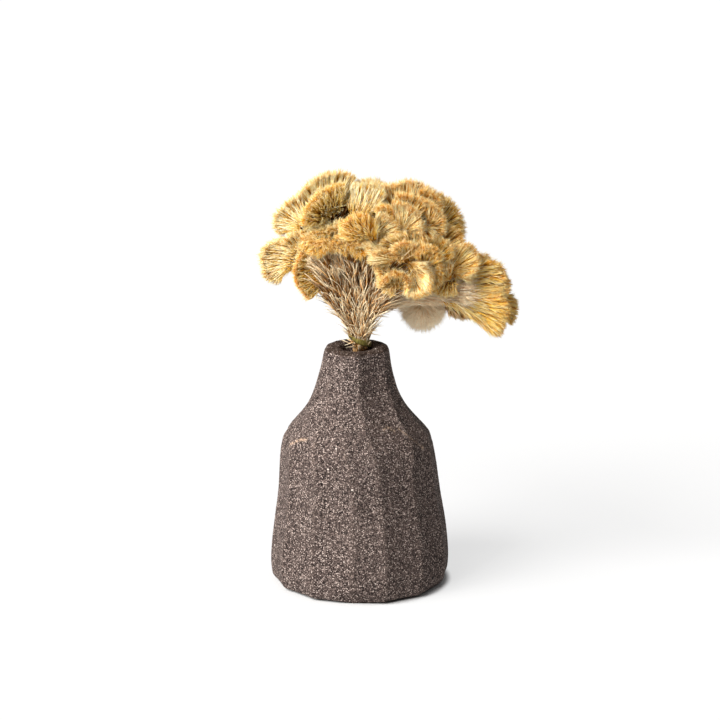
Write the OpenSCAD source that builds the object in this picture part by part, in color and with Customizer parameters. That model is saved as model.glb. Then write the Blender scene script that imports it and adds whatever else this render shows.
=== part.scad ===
// Faceted stoneware bud vase holding one dried cockscomb flower.
// Origin: centre of the vase's flat foot. +Z is up, and the front of the flower faces -Y.

/* [Vase] */
// Height of the vase from foot to rim
vase_h = 120; // [100:1:140]
// Largest radius, low on the body
widest_r = 44.3; // [40:0.1:48]
// Radius of the foot where it meets the table
foot_r = 42.2; // [38:0.1:43]
// Radius at the shoulder, where the body turns in
shoulder_r = 36.6; // [34:0.1:39]
// Radius half way up the sloping neck
neck_r = 24.4; // [22:0.1:26]
// Radius at the rim
rim_r = 15.7; // [14:0.1:18]

/* [Facets] */
// Number of flat facets cut round the wall
facet_count = 14; // [10:1:18]
// Direction in which the first facet faces, in degrees from the front
first_facet_deg = -46; // [-60:1:-30]
// How far the facets stray from even spacing, in degrees
facet_stray_deg = 1.2; // [0:0.1:2]

/* [Inside] */
// Thickness of the floor
floor_t = 7; // [5:0.5:10]
// Thickness of the wall of the body
wall_t = 6.4; // [5:0.1:8]
// Radius of the hole through the neck
bore_r = 7.4; // [6.5:0.1:8.5]
// Rounding of the hole's upper edge
lip_r = 1.2; // [0.5:0.1:2]

/* [Flower] */
// Radius of the bare stalk that stands in the neck
stalk_r = 3.0; // [2:0.1:3.5]
// How far back in the neck the stalk leans
stalk_back = 2.5; // [0:0.1:3]
// Gap between the foot of the stalk and the floor inside
stalk_gap = 0.3; // [0.2:0.1:2]
// Height at which the stalk divides, above the rim
fork_up = 15; // [10:1:20]
// Radius of the rounding of the large crests
crest_r = 8; // [6:0.5:9]

/* [Hidden] */

$fn = 64;
clay = [0.33, 0.29, 0.27];
stalk_colour = [0.66, 0.50, 0.32];
twig_colour = [0.42, 0.24, 0.13];
leaf_colour = [0.36, 0.36, 0.16];
bristle_colour = [0.79, 0.66, 0.46];
crest_colour = [0.90, 0.74, 0.42];
deep_colour = [0.72, 0.56, 0.34];

// Half outline of the vase, [radius, height], measured to the middle of a facet's width.
shoulder_z = vase_h * 0.615;
outline = [
    [foot_r, 0],
    [widest_r - 0.7, 2],
    [widest_r, 7],
    [widest_r, 13],
    [widest_r - 1.2, 26],
    [widest_r - 3.2, 40],
    [shoulder_r + 2.9, 54],
    [shoulder_r + 1.4, 66],
    [shoulder_r, shoulder_z],
    [shoulder_r - 3.6, shoulder_z + 5],
    [neck_r + 4.2, shoulder_z + 10.5],
    [neck_r, shoulder_z + 16.5],
    [rim_r + 4.9, vase_h - 22],
    [rim_r + 2.6, vase_h - 14.5],
    [rim_r + 1.1, vase_h - 8],
    [rim_r + 0.2, vase_h - 1.5],
    [rim_r - 0.9, vase_h]
];
facet_flat = 0.985;             // middle of a facet over the mean radius there
far = 2 * widest_r;             // reach of a cutting block past the axis
cavity_corner = 5;              // rounding between floor and wall inside
cavity_r = widest_r - wall_t;   // inside radius low in the body

function facet_deg(i) = first_facet_deg + i * 360 / facet_count + facet_stray_deg * sin(137 * i);

// Everything on one side of one facet: the outline, carried far back and sideways.
module facet_side() {
    rotate([90, 0, 0])
        linear_extrude(height = 2 * far, center = true)
            polygon(concat([for (p = outline) [p[0] * facet_flat, p[1]]],
                           [[-far, vase_h], [-far, 0]]));
}

// The space inside: a round jar shape that narrows to the hole through the neck.
module inside() {
    rotate_extrude($fn = 96)
        polygon([
            [0, floor_t],
            [cavity_r - cavity_corner, floor_t],
            [cavity_r - cavity_corner * 0.3, floor_t + cavity_corner * 0.3],
            [cavity_r, floor_t + cavity_corner],
            [cavity_r - 0.8, 28],
            [shoulder_r + 2.4 - wall_t, 56],
            [shoulder_r - 0.4 - wall_t, shoulder_z - 3],
            [neck_r + 3.2 - wall_t, shoulder_z + 9],
            [bore_r + 4, vase_h - 25],
            [bore_r, vase_h - 18],
            [bore_r, vase_h - lip_r],
            [bore_r + lip_r, vase_h],
            [bore_r + lip_r, vase_h + 1],
            [0, vase_h + 1]
        ]);
}

module vase_body() {
    color(clay)
        difference() {
            intersection_for (i = [0 : facet_count - 1])
                rotate([0, 0, facet_deg(i) - 90]) facet_side();
            inside();
        }
}

// A soft rounded mass through the given points.
module pad(points, r) {
    hull()
        for (p = points)
            translate(p) sphere(r = r, $fn = 20);
}

// A twig that tapers from r1 at a to r2 at b.
module twig(a, b, r1, r2) {
    hull() {
        translate(a) sphere(r = r1, $fn = 16);
        translate(b) sphere(r = r2, $fn = 16);
    }
}

fork = [0, stalk_back - 1, vase_h + fork_up];
left_bend = [-11, 0, vase_h + 32];
left_end = [-21, 0, vase_h + 44];
right_bend = [20, -1, vase_h + 24.5];
right_end = [37, -2, vase_h + 27];

module main_stalk() {
    stalk_foot = floor_t + stalk_gap;
    color(stalk_colour) {
        translate([0, stalk_back, stalk_foot])
            cylinder(r = stalk_r, h = vase_h + 4 - stalk_foot, $fn = 32);
        twig([0, stalk_back, vase_h + 3], fork, stalk_r, stalk_r + 0.6);
    }
}

module left_stalk() {
    color(stalk_colour) {
        twig(fork, left_bend, 3.0, 2.6);
        twig(left_bend, left_end, 2.6, 2.2);
    }
}

module right_stalk() {
    color(twig_colour) {
        twig(fork, right_bend, 2.8, 2.0);
        twig(right_bend, right_end, 2.0, 1.8);
    }
}

// A dry leaf wrapped round the throat of the bundle.
module throat_leaf() {
    leaf_r = 6.3;
    leaf_t = 0.8;
    leaf_w = 3;
    color(leaf_colour)
        translate([0, stalk_back - 1.4, vase_h + 4.4])
            rotate([14, 14, 0])
                difference() {
                    cylinder(r = leaf_r, h = leaf_w, center = true, $fn = 48);
                    cylinder(r = leaf_r - leaf_t, h = leaf_w + 1, center = true, $fn = 48);
                }
}

module trunk_bristles() {
    color(bristle_colour)
        hull() {
            translate([0, 1.5, vase_h + 7.5]) sphere(r = 5.2, $fn = 20);
            translate([-15, -6, vase_h + 38]) sphere(r = 8, $fn = 20);
            translate([3, -8, vase_h + 40]) sphere(r = 8, $fn = 20);
            translate([-5, 10, vase_h + 38]) sphere(r = 8, $fn = 20);
        }
}

// The broad fleshy plate that carries all the crests.
module crest_plate() {
    color(deep_colour)
        pad([[-20, 2, 171], [0, 0, 168], [30, 2, 170], [12, 6, 184], [-14, 4, 184]], 7);
}

module crown_funnel() {
    color(crest_colour)
        pad([[-27, -9, 193], [-10, -9, 200], [-19, -15, 186], [-15, 8, 192]], crest_r);
}

module crown_centre_fan() {
    color(crest_colour)
        pad([[-3, -7, 188], [-3, -2, 200], [9, -2, 195], [4, 8, 192]], crest_r - 1);
}

module crown_right_fan() {
    color(crest_colour)
        pad([[12, -8, 194], [26, -8, 195], [38, -3, 184], [22, -15, 180], [26, 10, 189]], crest_r);
}

module right_shoulder_fold() {
    color(crest_colour)
        pad([[42, 0, 181], [45, -4, 172], [50, -7, 162], [38, -10, 166], [40, 9, 168]], crest_r - 1);
}

module left_upper_fan() {
    color(crest_colour)
        pad([[-34, -4, 188], [-36, -2, 181], [-27, -3, 180], [-29, 8, 183]], crest_r - 1);
}

module left_lower_fan() {
    color(crest_colour)
        pad([[-41, 0, 170], [-43, 0, 163], [-38, 0, 157], [-28, 0, 165]], crest_r - 1);
}

module left_curl() {
    color(crest_colour)
        pad([[-26, -12, 167], [-27, -12, 157], [-21, -12, 149], [-15, -6, 162]], crest_r - 2);
}

module front_hump() {
    color(crest_colour)
        pad([[-3, -20, 184], [6, -20, 185], [15, -18, 179], [4, -8, 174]], crest_r - 1);
}

module front_crests() {
    color(crest_colour)
        pad([[13, -22, 168], [30, -20, 167], [32, -20, 157], [15, -22, 157], [22, -8, 162]],
            crest_r - 1);
}

module right_fan() {
    color(crest_colour)
        pad([[42, -6, 151], [58, -5, 164], [69, -2, 155], [70, -2, 139], [66, -2, 132],
             [50, 5, 146]], crest_r - 1);
}

module right_tuft() {
    color(bristle_colour)
        pad([[26, 9, 136], [36, 9, 136], [31, 9, 131.5], [32, 8, 141]], crest_r - 1);
}

module right_tag() {
    color(bristle_colour)
        pad([[44, 6, 139.5], [55, 6, 136]], 2.5);
}

module back_left_fan() {
    color(crest_colour)
        pad([[-32, 16, 174], [-22, 25, 184], [-13, 27, 170], [-19, 12, 180]], crest_r);
}

module back_centre_fan() {
    color(crest_colour)
        pad([[-2, 28, 188], [12, 31, 182], [4, 33, 166], [4, 16, 193]], crest_r);
}

module back_right_fan() {
    color(crest_colour)
        pad([[28, 25, 184], [40, 19, 174], [30, 28, 164], [22, 14, 180]], crest_r);
}

module back_low_left_fan() {
    color(bristle_colour)
        pad([[-8, 24, 152], [-24, 20, 156], [-33, 11, 161], [-10, 10, 166]], crest_r - 1);
}

module back_low_right_fan() {
    color(bristle_colour)
        pad([[18, 24, 150], [46, 19, 151], [58, 14, 147], [30, 10, 164]], crest_r - 1);
}

vase_body();
main_stalk();
left_stalk();
right_stalk();
throat_leaf();
trunk_bristles();
crest_plate();
crown_funnel();
crown_centre_fan();
crown_right_fan();
right_shoulder_fold();
left_upper_fan();
left_lower_fan();
left_curl();
front_hump();
front_crests();
right_fan();
right_tuft();
right_tag();
back_left_fan();
back_centre_fan();
back_right_fan();
back_low_left_fan();
back_low_right_fan();
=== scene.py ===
"""A faceted stoneware bud vase with one dried cockscomb flower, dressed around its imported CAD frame."""
import math
from types import SimpleNamespace

import bpy
import numpy as np
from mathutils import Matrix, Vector


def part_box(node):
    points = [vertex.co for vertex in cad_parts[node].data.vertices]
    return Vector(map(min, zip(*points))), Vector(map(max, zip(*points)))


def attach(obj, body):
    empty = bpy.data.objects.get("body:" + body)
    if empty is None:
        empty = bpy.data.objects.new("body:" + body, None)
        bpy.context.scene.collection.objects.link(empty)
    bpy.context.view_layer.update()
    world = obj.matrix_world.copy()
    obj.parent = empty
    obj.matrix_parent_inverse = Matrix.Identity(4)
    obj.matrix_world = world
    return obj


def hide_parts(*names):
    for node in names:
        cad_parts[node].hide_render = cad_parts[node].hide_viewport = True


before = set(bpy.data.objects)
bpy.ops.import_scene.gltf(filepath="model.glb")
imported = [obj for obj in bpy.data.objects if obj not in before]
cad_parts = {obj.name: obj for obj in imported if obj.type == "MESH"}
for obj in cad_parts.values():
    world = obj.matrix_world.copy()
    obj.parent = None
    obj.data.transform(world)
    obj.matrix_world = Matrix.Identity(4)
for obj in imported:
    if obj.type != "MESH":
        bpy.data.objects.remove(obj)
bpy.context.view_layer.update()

MM = 0.001
UP = np.array([0.0, 0.0, 1.0])
WHITE = (1.0, 1.0, 1.0, 1.0)
DAYLIGHT = (1.0, 0.99, 0.975)


# ---------------------------------------------------------------- camera, light and floor

def link(name, data):
    """A new object in the scene."""
    thing = bpy.data.objects.new(name, data)
    bpy.context.scene.collection.objects.link(thing)
    return thing


def aim(thing, target):
    direction = Vector(target) - thing.location
    thing.rotation_euler = direction.to_track_quat("-Z", "Y").to_euler()


def add_camera():
    """A long lens a metre and a half away, looking down at the vase by a little under 16 degrees."""
    data = bpy.data.cameras.new("camera")
    data.sensor_width = 36.0
    data.lens = 160.5
    data.clip_end = 50.0
    camera = link("camera", data)
    camera.location = (0.0, -1.5217, 0.5392)
    aim(camera, (0.0, 0.0, 0.1129))
    bpy.context.scene.camera = camera


def add_sun(name, towards, strength, angle_deg, colour):
    data = bpy.data.lights.new(name, "SUN")
    data.energy = strength
    data.angle = math.radians(angle_deg)
    data.color = colour
    sun = link(name, data)
    sun.location = towards
    aim(sun, (0.0, 0.0, 0.0))


def add_world(fill, seen):
    """Soft white fill from all round. Looked at directly it is the white of the backdrop."""
    world = bpy.data.worlds.new("studio")
    bpy.context.scene.world = world
    world.use_nodes = True
    nodes, links = world.node_tree.nodes, world.node_tree.links
    nodes.clear()
    out = nodes.new("ShaderNodeOutputWorld")
    mix = nodes.new("ShaderNodeMixShader")
    links.new(nodes.new("ShaderNodeLightPath").outputs["Is Camera Ray"], mix.inputs[0])
    for socket, strength in ((1, fill), (2, seen)):
        white = nodes.new("ShaderNodeBackground")
        white.inputs["Color"].default_value = WHITE
        white.inputs["Strength"].default_value = strength
        links.new(white.outputs[0], mix.inputs[socket])
    links.new(mix.outputs[0], out.inputs["Surface"])


def add_floor():
    """A wide white studio floor, partly lit from below as a light table is, but not under the foot."""
    half, dark_to, lit_from = 12.0, 0.0425, 0.0465
    corners = [(-half, -half, 0), (half, -half, 0), (half, half, 0), (-half, half, 0)]
    mesh = bpy.data.meshes.new("studio_floor")
    mesh.from_pydata(corners, [], [(0, 1, 2, 3)])
    s = Shader("floor_white", 0.9, 0.1)
    s.base.inputs["Emission Color"].default_value = WHITE
    distance = s.node("VectorMath")
    distance.operation = "LENGTH"
    s.links.new(s.place(), distance.inputs[0])
    away = s.step(distance.outputs["Value"], dark_to, lit_from)
    s.feed(s.base.inputs["Base Color"], s.mix(away, (0.63, 0.63, 0.63, 1.0), (0.20, 0.20, 0.20, 1.0)))
    s.links.new(s.times(away, 0.68), s.base.inputs["Emission Strength"])
    mesh.materials.append(s.material)
    link("studio_floor", mesh)


def light_the_set():
    bpy.context.scene.view_settings.view_transform = "Standard"
    add_world(0.15, 0.975)
    add_sun("window", (-0.68, -0.45, 0.58), 6.3, 40.0, DAYLIGHT)
    add_sun("front", (-0.34, -0.67, 0.66), 1.15, 20.0, DAYLIGHT)
    add_sun("overhead", (0.1, 0.1, 1.0), 0.45, 80.0, WHITE[:3])


# ---------------------------------------------------------------- mesh helpers

def unit(v):
    return v / np.maximum(np.linalg.norm(v, axis=-1, keepdims=True), 1e-9)


def smooth_curve(points, count):
    """count points at even spacing on a Catmull-Rom curve through the given points."""
    p = np.array(points, float)
    p = np.vstack([2 * p[0] - p[1], p, 2 * p[-1] - p[-2]])
    t = np.linspace(0, 1, 24, endpoint=False)[:, None]
    parts = []
    for a, b, c, d in zip(p[:-3], p[1:-2], p[2:-1], p[3:]):
        parts.append(0.5 * (2 * b + (c - a) * t + (2 * a - 5 * b + 4 * c - d) * t ** 2
                            + (3 * b - a - 3 * c + d) * t ** 3))
    parts.append(p[-2][None])
    fine = np.vstack(parts)
    run = run_along(fine)
    at = np.linspace(0, run[-1], count)
    return np.stack([np.interp(at, run, fine[:, i]) for i in range(3)], axis=1)


def run_along(points):
    """Distance from the first point to each point, along the line through them."""
    return np.concatenate([[0], np.cumsum(np.linalg.norm(np.diff(points, axis=0), axis=1))])


class Geometry:
    """Collects vertices in millimetres, triangles, per-vertex values and bake coordinates for one piece."""

    def __init__(self):
        self.places, self.triangles, self.slots, self.uvs = [], [], [], []
        self.values = {"run": [], "gold": [], "pale": [], "chance": []}
        self.count = 0

    def add(self, places, triangles, uv, slot=0, **values):
        self.places.append(places)
        self.triangles.append(triangles + self.count)
        self.slots.append(np.full(len(triangles), slot, np.int32))
        self.uvs.append(uv)
        for name, kept in self.values.items():
            kept.append(np.broadcast_to(values.get(name, 0.0), len(places)).astype(np.float32))
        self.count += len(places)

    def build(self, name, materials, replaced, body="flower"):
        """Makes the mesh with its materials, and sets the body it rides on and hides the CAD node it replaces
        (or None).
        """
        mesh = bpy.data.meshes.new(name)
        places = np.vstack(self.places) * MM
        triangles = np.vstack(self.triangles).astype(np.int32)
        mesh.vertices.add(len(places))
        mesh.vertices.foreach_set("co", places.astype(np.float32).ravel())
        mesh.loops.add(triangles.size)
        mesh.loops.foreach_set("vertex_index", triangles.ravel())
        mesh.polygons.add(len(triangles))
        mesh.polygons.foreach_set("loop_start", np.arange(0, triangles.size, 3, dtype=np.int32))
        mesh.update(calc_edges=True)
        mesh.polygons.foreach_set("material_index", np.concatenate(self.slots))
        mesh.polygons.foreach_set("use_smooth", np.ones(len(triangles), bool))
        for key, kept in self.values.items():
            data = mesh.attributes.new(key, "FLOAT", "POINT").data
            data.foreach_set("value", np.concatenate(kept))
        uv = np.vstack(self.uvs)[triangles.ravel()]
        mesh.uv_layers.new(name="OFBake").data.foreach_set("uv", uv.astype(np.float32).ravel())
        for material in materials:
            mesh.materials.append(MATERIALS[material])
        piece = link(name, mesh)
        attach(piece, body)
        if replaced:
            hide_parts(replaced)


def grid_triangles(rows, columns, wrap=False):
    """Triangles of a grid of rows by columns vertices, closed across its columns if wrap."""
    across = columns if wrap else columns - 1
    i, j = np.meshgrid(np.arange(rows - 1), np.arange(across), indexing="ij")
    j2 = (j + 1) % columns
    a, b = i * columns + j, i * columns + j2
    c, d = (i + 1) * columns + j2, (i + 1) * columns + j
    return np.concatenate([np.stack([a, b, c], -1).reshape(-1, 3),
                           np.stack([a, c, d], -1).reshape(-1, 3)])


def tube_triangles(rows, columns):
    """Triangles of a closed tube: a wrapped grid, and a fan to one more vertex in the middle of each end."""
    near = np.arange(columns)
    after = (near + 1) % columns
    count = rows * columns
    last = count - columns
    return np.vstack([grid_triangles(rows, columns, wrap=True),
                      np.stack([np.full(columns, count), after, near], -1),
                      np.stack([np.full(columns, count + 1), last + near, last + after], -1)])


# ---------------------------------------------------------------- materials

MATERIALS = {}
# Screen colours of each kind of bristle: its root, middle and tip, where it is golden, and the brightest
# strands. The last number is how far the darkest strands go towards the root's colour.
# The dark roots are partly painted shade deep in the coat. The brightest colour, which also ends every
# bristle at its point, is partly painted light glowing through the thin points.
BRISTLES = {
    "golden": [(206, 136, 24), (252, 206, 76), (255, 233, 134), (234, 173, 40), (255, 249, 212), 0.55],
    "amber": [(190, 112, 12), (252, 188, 52), (255, 220, 104), (240, 166, 24), (255, 247, 200), 0.6],
    "tan": [(80, 38, 10), (246, 178, 96), (255, 214, 148), (236, 160, 44), (255, 240, 206), 0.68],
    "beige": [(255, 190, 124), (255, 222, 168), (255, 232, 190), (246, 196, 104), (255, 243, 216), 0.2]}


def srgb(r, g, b):
    """Linear colour of an 8-bit screen colour."""
    def linear(v):
        v /= 255.0
        return v / 12.92 if v <= 0.04045 else ((v + 0.055) / 1.055) ** 2.4
    return (linear(r), linear(g), linear(b), 1.0)


class Shader:
    """A node material with short calls for the nodes it needs."""

    def __init__(self, name, roughness, specular):
        self.material = bpy.data.materials.new(name)
        self.material.use_nodes = True
        self.nodes = self.material.node_tree.nodes
        self.links = self.material.node_tree.links
        self.base = self.nodes["Principled BSDF"]
        self.base.inputs["Roughness"].default_value = roughness
        self.base.inputs["Specular IOR Level"].default_value = specular

    def feed(self, socket, value):
        if isinstance(value, bpy.types.NodeSocket):
            self.links.new(value, socket)
        else:
            socket.default_value = value

    def node(self, kind, **inputs):
        """A new node with its inputs fed by name, with _ for a space."""
        node = self.nodes.new("ShaderNode" + kind)
        for name, value in inputs.items():
            self.feed(node.inputs[name.replace("_", " ")], value)
        return node

    def place(self):
        return self.node("TexCoord").outputs["Object"]

    def value(self, name):
        node = self.node("Attribute")
        node.attribute_name = name
        return node.outputs["Fac"]

    def noise(self, scale, detail=2.0, rough=0.5, at=None):
        node = self.node("TexNoise", Vector=at or self.place(), Scale=scale, Detail=detail, Roughness=rough)
        return node.outputs["Fac"]

    def cells(self, scale):
        """Distance to the nearest cell's centre, and a random number for each cell."""
        node = self.node("TexVoronoi", Vector=self.place(), Scale=scale)
        return node.outputs["Distance"], self.node("SeparateColor", Color=node.outputs["Color"]).outputs[0]

    def math(self, operation, a, b):
        node = self.node("Math")
        node.operation = operation
        self.feed(node.inputs[0], a)
        self.feed(node.inputs[1], b)
        return node.outputs[0]

    def times(self, a, b):
        return self.math("MULTIPLY", a, b)

    def step(self, value, low, high, out_low=0.0, out_high=1.0):
        node = self.node("MapRange", Value=value, From_Min=low, From_Max=high,
                         To_Min=out_low, To_Max=out_high)
        node.interpolation_type = "SMOOTHSTEP"
        return node.outputs["Result"]

    def grains(self, scale, lot_from, lot_to, rim, core):
        """Round grains in the share of the cells whose random number is above lot_from."""
        near, lot = self.cells(scale)
        return self.times(self.step(lot, lot_from, lot_to), self.step(near, rim, core))

    def ramp(self, value, stops):
        node = self.node("ValToRGB", Fac=value)
        band = node.color_ramp
        while len(band.elements) < len(stops):
            band.elements.new(0.5)
        for element, (at, colour) in zip(band.elements, stops):
            element.position = at
            element.color = colour
        return node.outputs["Color"]

    def mix(self, share, a, b):
        node = self.node("Mix")
        node.data_type = "RGBA"
        self.feed(node.inputs["Factor"], share)
        self.feed(node.inputs[6], a)
        self.feed(node.inputs[7], b)
        return node.outputs[2]

    def done(self, colour, height, distance, strength):
        """Finishes the material with a colour and a bump that is distance metres high."""
        node = self.node("Bump", Distance=distance, Strength=strength, Height=height)
        self.links.new(colour, self.base.inputs["Base Color"])
        self.links.new(node.outputs["Normal"], self.base.inputs["Normal"])
        return self.material


def stoneware():
    """Dark taupe clay full of fine grog: pale beige and black grains, a few white sparks, worn ridges,
    scratches, and dark rust stains, which also paint shade over the whole rim top and on the right of the
    neck.
    """
    s = Shader("stoneware", 0.93, 0.1)
    _, lot = s.cells(2300.0)
    colour = s.ramp(lot, [(0.0, srgb(22, 18, 17)), (0.22, srgb(46, 38, 36)), (0.5, srgb(75, 64, 60)),
                          (0.78, srgb(107, 92, 87)), (1.0, srgb(160, 142, 133))])
    fine, mottle = s.noise(2300.0, 2.0, 0.6), s.noise(160.0, 3.0, 0.55)
    pale = s.grains(1650.0, 0.76, 0.78, 0.55, 0.35)
    pit = s.grains(1500.0, 0.68, 0.70, 0.55, 0.35)
    worn = s.times(s.value("gold"), s.step(s.noise(420.0), 0.35, 0.65))
    scuff = s.times(s.value("pale"), s.step(s.noise(900.0), 0.36, 0.6))
    # The run value darkens the clay to rust brown: real rust stains, and painted shade over the rim top and
    # on the right of the neck.
    rust_and_painted_shade = s.times(s.value("run"), s.step(s.noise(600.0), 0.25, 0.55))
    for share, tint in [(s.step(fine, 0.4, 0.62, 0.5, 0.0), (34, 28, 26)),
                        (s.step(mottle, 0.35, 0.7, 0.0, 0.3), (88, 75, 70)),
                        (s.times(pale, 0.9), (196, 178, 168)),
                        (s.times(pit, 0.95), (10, 8, 8)),
                        (s.times(worn, 0.22), (146, 127, 116)),
                        (s.times(scuff, 0.75), (206, 176, 150)),
                        (s.times(rust_and_painted_shade, 0.72), (42, 30, 21)),
                        (s.grains(260.0, 0.97, 0.975, 0.15, 0.08), (226, 214, 204))]:
        colour = s.mix(share, colour, srgb(*tint))
    grit = s.math("SUBTRACT", s.times(pale, 0.7), pit)
    return s.done(colour, s.math("ADD", grit, s.noise(1300.0, 3.0, 0.7)), 0.0002, 0.9)


def bristle_material(name, base, middle, tip, golden, bright, dark_share):
    """Dry bristles, deeper at the root and pale at the point: their own colour, with painted shade deep in
    the coat at the root and a painted glow of light through the thin points. Where gold is high the lower
    half is golden.
    """
    s = Shader(name, 0.6, 0.12)
    base, middle, tip, golden, bright = (srgb(*c) for c in (base, middle, tip, golden, bright))
    run = s.value("run")
    plain = s.ramp(run, [(0.0, base), (0.25, middle), (0.6, tip), (1.0, bright)])
    rich = s.ramp(run, [(0.0, base), (0.18, golden), (0.68, golden), (0.9, tip), (1.0, bright)])
    colour = s.mix(s.value("gold"), plain, rich)
    colour = s.mix(s.times(s.value("pale"), s.step(run, 0.1, 0.75)), colour, bright)
    # Low values darken a strand towards the root colour and high ones brighten it. On the fans' faces the
    # value follows how far a strand stands out of the coat, so this is partly painted shade on the lower
    # strands and painted light on the top ones.
    chance = s.value("chance")
    colour = s.mix(s.step(chance, 0.25, 0.6, dark_share, 0.0), colour, base)
    colour = s.mix(s.step(chance, 0.68, 0.92, 0.0, 0.8), colour, bright)
    fibre = s.noise(2600.0, 2.0, 0.6)
    colour = s.mix(s.step(fibre, 0.45, 0.75, 0.0, 0.12), colour, base)
    return s.done(colour, fibre, 0.00006, 0.5)


def flesh_and_painted_shade_material():
    """The dry plate that the bristles grow from. Its dark brown, darkest at the root, is partly painted shade
    between the bristles.
    """
    s = Shader("crest_flesh_and_painted_shade", 0.8, 0.1)
    blotch = s.noise(420.0, 3.0, 0.6)
    stops = [(0.0, srgb(66, 38, 14)), (0.5, srgb(112, 72, 30)), (1.0, srgb(170, 116, 48))]
    colour = s.mix(s.step(blotch, 0.4, 0.7, 0.0, 0.5), s.ramp(s.value("run"), stops), srgb(70, 46, 22))
    return s.done(colour, blotch, 0.0004, 0.6)


def stalk_material(name, dark, light):
    """Dry woody stem with lengthwise fibres."""
    s = Shader(name, 0.7, 0.2)
    streak = s.node("Mapping", Vector=s.place(), Scale=(1.0, 1.0, 0.12))
    fibres = s.noise(1900.0, 3.0, at=streak.outputs[0])
    return s.done(s.ramp(fibres, [(0.35, srgb(*dark)), (0.65, srgb(*light))]), fibres, 0.0003, 0.8)


def make_materials():
    MATERIALS["stoneware"] = stoneware()
    for kind, look in BRISTLES.items():
        MATERIALS[kind] = bristle_material(kind + "_bristle", *look)
    MATERIALS["flesh"] = flesh_and_painted_shade_material()
    MATERIALS["stalk"] = stalk_material("dry_stalk", (96, 66, 38), (184, 146, 98))
    MATERIALS["twig"] = stalk_material("red_twig", (58, 24, 10), (140, 84, 46))
    MATERIALS["leaf"] = stalk_material("olive_leaf", (52, 46, 14), (116, 104, 44))


# ---------------------------------------------------------------- vase

# Ridge directions in degrees from the front (+ to the right), on the body and at the rim.
RIDGES = [(-4.5, -22), (16.5, 4), (44, 58), (70, 88), (96, 106), (122, 124), (148, 146), (173, 173),
          (198, 199), (223, 224), (249, 249), (274, 274), (300, 293), (327, 317)]
# The ridges' radius and height (mm), along the underside, up the wall, over the rim and down the hollow.
UNDERSIDE = [(2, 0), (20, 0), (37.5, 0), (39.4, 0)]
WALL = [(39.4, 0), (39.7, 0.6), (41.8, 1.1), (43.4, 2.2), (44.3, 5), (44.7, 11), (44.3, 18), (43.6, 25),
        (42.0, 36), (40.9, 43), (40.1, 50), (39.2, 60), (38.3, 67.5), (37.4, 72), (36.5, 75), (34.6, 77.8),
        (32.0, 80.8), (28.7, 84.6), (25.8, 88.4), (23.4, 92.4), (21.3, 97), (19.5, 102.5), (18.1, 107.5),
        (17.2, 111.5), (16.4, 116.2), (15.9, 118.6)]
RIM = [(15.3, 119.5), (14.2, 120), (12.0, 120.1), (9.6, 119.9), (8.3, 119.4), (7.5, 118.2)]
HOLLOW = [(7.4, 116), (7.4, 102.5), (9.5, 98), (14, 92), (20, 84), (27, 76), (30.5, 70), (32.4, 56),
          (36, 30), (37.6, 13), (36.4, 9.2), (33, 7.1), (20, 7), (6, 7)]
ON_FOOT, ON_WALL, ON_RIM, INSIDE = range(4)
FOOT_CUTS = [(-4, 39.4), (60, 39.8)]        # direction and distance (mm) of two flats worn on the foot's edge
COLUMNS = 420
TURN = np.arange(COLUMNS) * 360.0 / COLUMNS
# Scratches, and rusty stains which also paint shade on the right of the neck: points (direction, height),
# radius there, width in mm and strength.
SCRATCHES = [([(-66, 73.5), (-60, 76), (-54, 78), (-48, 78.5)], 36.0, 1.0, 1.0),
             ([(46, 84), (51, 80), (56, 77), (62, 73.5)], 34.0, 0.6, 1.0),
             ([(63, 73), (64, 72.5)], 36.0, 1.1, 1.0),
             ([(30, 84), (35, 85), (41, 83)], 32.0, 0.7, 1.0)]
RUST_STAINS_AND_PAINTED_SHADE = [([(24, 87), (32, 86), (42, 82)], 32.0, 5.0, 1.0), ([(40, 76), (60, 75)], 36.0, 5.0, 0.5)]


def spaced(points, gap):
    """Points along a smooth curve through (radius, height) pairs, about gap millimetres apart."""
    flat = np.array([(r, 0.0, z) for r, z in points])
    length = np.linalg.norm(np.diff(flat, axis=0), axis=1).sum()
    return smooth_curve(flat, max(3, int(length / gap)))[:, [0, 2]]


def ridge_angles(height):
    """Ridge directions at one height, in degrees, drifting from foot to neck."""
    share = min(max((height - 62.0) / 42.0, 0.0), 1.0)
    return np.array([foot + (neck - foot) * share for foot, neck in RIDGES])


def facet_ratio(ridges):
    """Radius of the many-sided outline over its ridge radius, at each direction in TURN."""
    order = np.sort(ridges % 360.0)
    after = np.searchsorted(order, TURN % 360.0) % len(order)
    before = (after - 1) % len(order)
    width = (order[after] - order[before]) % 360.0
    into = (TURN - order[before]) % 360.0
    half = np.radians(width / 2.0)
    return np.cos(half) / np.cos(np.radians(into) - half)


def soften(row, sigma_deg):
    """row, smoothed round the circle with a bell curve of the given width."""
    reach = int(3 * sigma_deg * COLUMNS / 360.0) + 1
    offsets = np.arange(-reach, reach + 1)
    bell = np.exp(-0.5 * (offsets * 360.0 / COLUMNS / sigma_deg) ** 2)
    bell /= bell.sum()
    return sum(w * np.roll(row, o) for w, o in zip(bell, offsets))


def slow_waves(turn, height, rng, count=9):
    """Gentle unevenness of a hand-cut wall, between about -1 and 1."""
    total = np.zeros(turn.shape)
    for _ in range(count):
        around_it, along = rng.integers(2, 9), rng.uniform(0.02, 0.11)
        total += np.sin(np.radians(turn * around_it) + height * along + rng.uniform(0, 6.28)) / count
    return total * 1.6


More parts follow.
